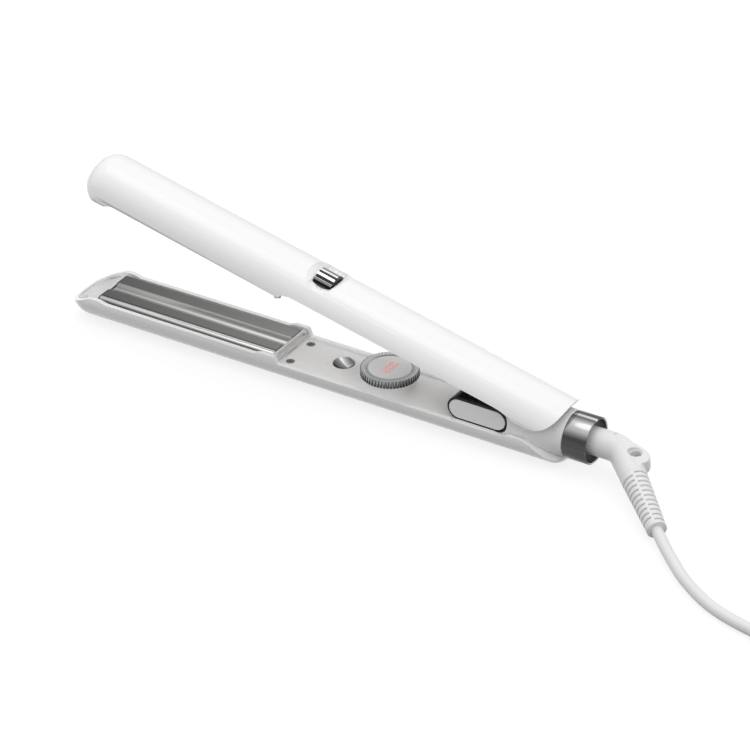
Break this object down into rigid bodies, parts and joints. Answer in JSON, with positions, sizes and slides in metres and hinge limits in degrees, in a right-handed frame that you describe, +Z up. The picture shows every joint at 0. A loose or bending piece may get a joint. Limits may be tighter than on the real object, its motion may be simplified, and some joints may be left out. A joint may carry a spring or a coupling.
{
  "type": "hair curler straightener",
  "caption": "Hair straightener and curler with two hinged half-round arms, sprung heated plates, a knurled dial with display and a swivel cord.",
  "frame": {"origin": "middle of the flat that the lower arm rests on, below the arms' centre line", "axes": "+X along the arms towards the cord, +Y across them, +Z up"},
  "size_m": [0.5374, 0.1058, 0.0866],
  "materials": {
    "shell_white": "glossy",
    "deck_white": "satin",
    "holder_grey": "satin",
    "plate_metal": "brushed, coated",
    "heater_ceramic": "matte",
    "silicone": "matte",
    "steel": "bright",
    "board": "matte",
    "black_plastic": "satin",
    "chrome": "polished",
    "display_grey": "satin",
    "display_red": "lit",
    "dial_metal": "knurled",
    "stop_black": "glossy",
    "cap_grey": "satin",
    "neck_grey": "satin",
    "contact_brass": "bright",
    "wheel_dark": "dark polished",
    "cord_white": "satin"
  },
  "bodies": {
    "lower_arm": {"lower_shell": "shell_white", "lower_deck": "deck_white", "lower_holder": "holder_grey", "deck_screws": "steel", "main_board": "board", "button_switch": "black_plastic", "dial_hub": "deck_white", "display_disc": "display_grey", "display_digits": "display_red", "hinge_stop": "stop_black", "stop_caps": "cap_grey", "neck": "neck_grey", "hinge_pin": "steel", "end_ring": "chrome", "swivel_bush": "black_plastic", "contact_pin": "contact_brass"},
    "lower_plate_body": {"lower_plate": "plate_metal", "lower_heater": "heater_ceramic", "lower_cushions": "silicone"},
    "button": {"power_button": "chrome"},
    "dial": {"dial_ring": "dial_metal"},
    "upper_arm": {"upper_shell": "shell_white", "upper_cover": "deck_white", "upper_holder": "holder_grey", "hinge_ears": "holder_grey", "wheel_axle": "steel"},
    "upper_plate_body": {"upper_plate": "plate_metal", "upper_heater": "heater_ceramic", "upper_cushions": "silicone"},
    "wheel": {"thumbwheel": "wheel_dark"},
    "cord_end": {"swivel_boot": "cord_white", "cord_sleeve": "cord_white", "cord_run": "cord_white", "cord_coil": "cord_white", "cord_tie": "black_plastic", "cord_tail": "cord_white", "plug_body": "cord_white", "plug_pins": "steel"}
  },
  "joints": [
    {"name": "arm_hinge", "type": "hinge", "parent": "lower_arm", "child": "upper_arm", "pos_m": [0.116, 0, 0.0237], "axis": [0, 1, 0], "range_deg": [-12.9, 0], "stiffness_Nm_per_rad": 1, "springref_deg": 4.51},
    {"name": "dial_turn", "type": "hinge", "parent": "lower_arm", "child": "dial", "pos_m": [0.0344, 0, 0.0167], "axis": [0, 0, 1], "continuous": true},
    {"name": "power_press", "type": "slide", "parent": "lower_arm", "child": "button", "axis": [0, 0, -1], "range_m": [0, 0.0008], "stiffness_N_per_m": 800, "springref_m": -0.0005},
    {"name": "lower_plate_give", "type": "slide", "parent": "lower_arm", "child": "lower_plate_body", "axis": [0, 0, -1], "range_m": [0, 0.0006], "stiffness_N_per_m": 4000, "springref_m": -0.0005},
    {"name": "upper_plate_give", "type": "slide", "parent": "upper_arm", "child": "upper_plate_body", "axis": [0.2233, 0, 0.9748], "range_m": [0, 0.0006], "stiffness_N_per_m": 4000, "springref_m": -0.0005},
    {"name": "wheel_turn", "type": "hinge", "parent": "upper_arm", "child": "wheel", "pos_m": [0.00031, 0, 0.05338], "axis": [0.9748, 0, -0.2233], "continuous": true},
    {"name": "cord_swivel", "type": "hinge", "parent": "lower_arm", "child": "cord_end", "pos_m": [0.138, 0, 0.0147], "axis": [1, 0, 0], "continuous": true}
  ]
}
